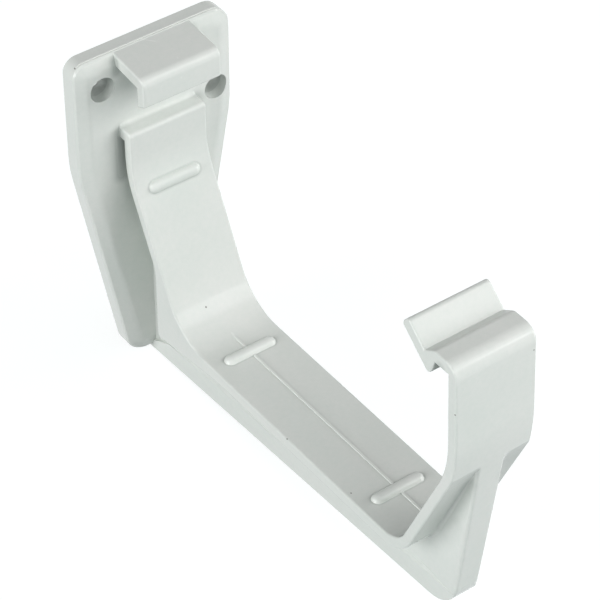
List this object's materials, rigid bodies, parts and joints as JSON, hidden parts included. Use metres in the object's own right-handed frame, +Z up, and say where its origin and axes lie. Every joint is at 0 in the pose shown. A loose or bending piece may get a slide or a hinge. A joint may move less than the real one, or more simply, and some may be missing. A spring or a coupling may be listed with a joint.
{
  "type": "gutter bracket",
  "caption": "One-piece moulded plastic bracket: a back plate with screw holes, a strap that cradles a square gutter, a hook and a clip for its edges, and a rib underneath.",
  "frame": {"origin": "on the flat wall face, on the bracket's centre line, level with the floor the gutter rests on", "axes": "+Z up, +Y into the wall, -Y out under the gutter, X along the gutter"},
  "size_m": [0.04, 0.1205, 0.0872],
  "materials": {
    "upvc": "satin moulded, light grey-white"
  },
  "bodies": {
    "root": {"gutter_bracket": "upvc"}
  },
  "joints": []
}
